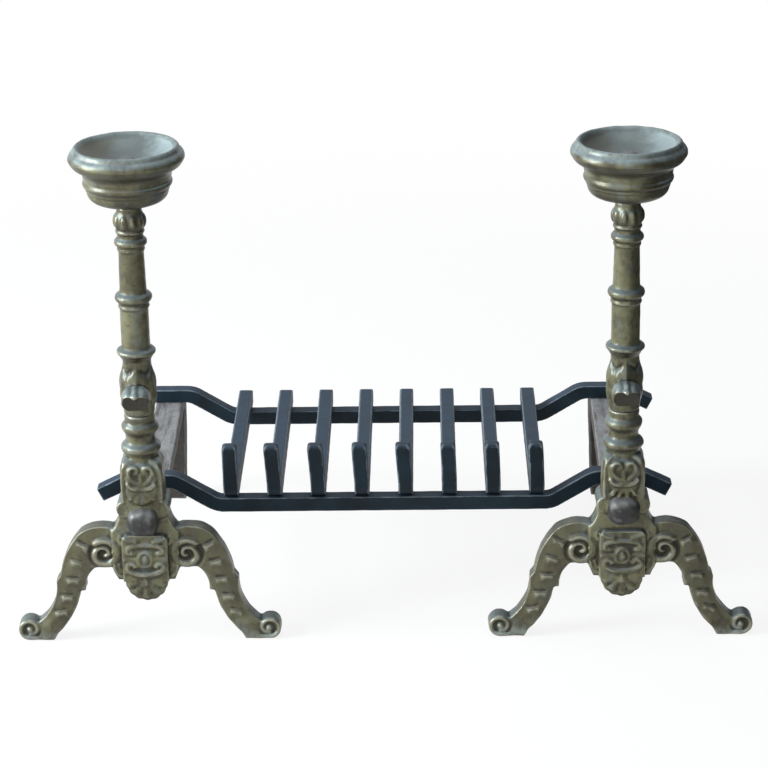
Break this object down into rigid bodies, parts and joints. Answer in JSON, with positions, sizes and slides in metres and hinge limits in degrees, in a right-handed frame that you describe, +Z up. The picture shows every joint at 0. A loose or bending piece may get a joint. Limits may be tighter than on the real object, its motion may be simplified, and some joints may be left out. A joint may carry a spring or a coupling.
{
  "type": "fireplace grate",
  "caption": "Cast cup-topped andirons on scrolled legs that carry a loose black fire grate of square slats with upturned finger ends across their rear billet bars.",
  "frame": {"origin": "on the floor, under the middle of the set's bounding box", "axes": "+X across the hearth to the right seen from the front, +Y from the front to the fireback, +Z up"},
  "size_m": [0.78, 0.4368, 0.543],
  "materials": {
    "aged_bronze": "aged olive bronze with worn grey edges",
    "billet_iron": "forged iron, dull grey with brown rust",
    "nut_iron": "forged iron, dark grey",
    "grate_black": "blue-black satin paint"
  },
  "bodies": {
    "left_andiron": {"left_base_casting": "aged_bronze", "left_column": "aged_bronze", "left_cup": "aged_bronze", "left_tie_rod": "nut_iron", "left_billet_bar": "billet_iron", "left_billet_nut": "nut_iron"},
    "right_andiron": {"right_base_casting": "aged_bronze", "right_column": "aged_bronze", "right_cup": "aged_bronze", "right_tie_rod": "nut_iron", "right_billet_bar": "billet_iron", "right_billet_nut": "nut_iron"},
    "grate": {"front_cross_bar": "grate_black", "rear_cross_bar": "grate_black", "front_welds": "grate_black", "rear_welds": "grate_black", "slat_1": "grate_black", "slat_2": "grate_black", "slat_3": "grate_black", "slat_4": "grate_black", "slat_5": "grate_black", "slat_6": "grate_black", "slat_7": "grate_black", "slat_8": "grate_black"}
  },
  "joints": [
    {"name": "grate_lift", "type": "slide", "parent": "left_andiron", "child": "grate", "axis": [0, 0, 1], "range_m": [0, 0.45]},
    {"name": "right_andiron_pull", "type": "slide", "parent": "left_andiron", "child": "right_andiron", "axis": [0, -1, 0], "range_m": [0, 0.33]}
  ]
}
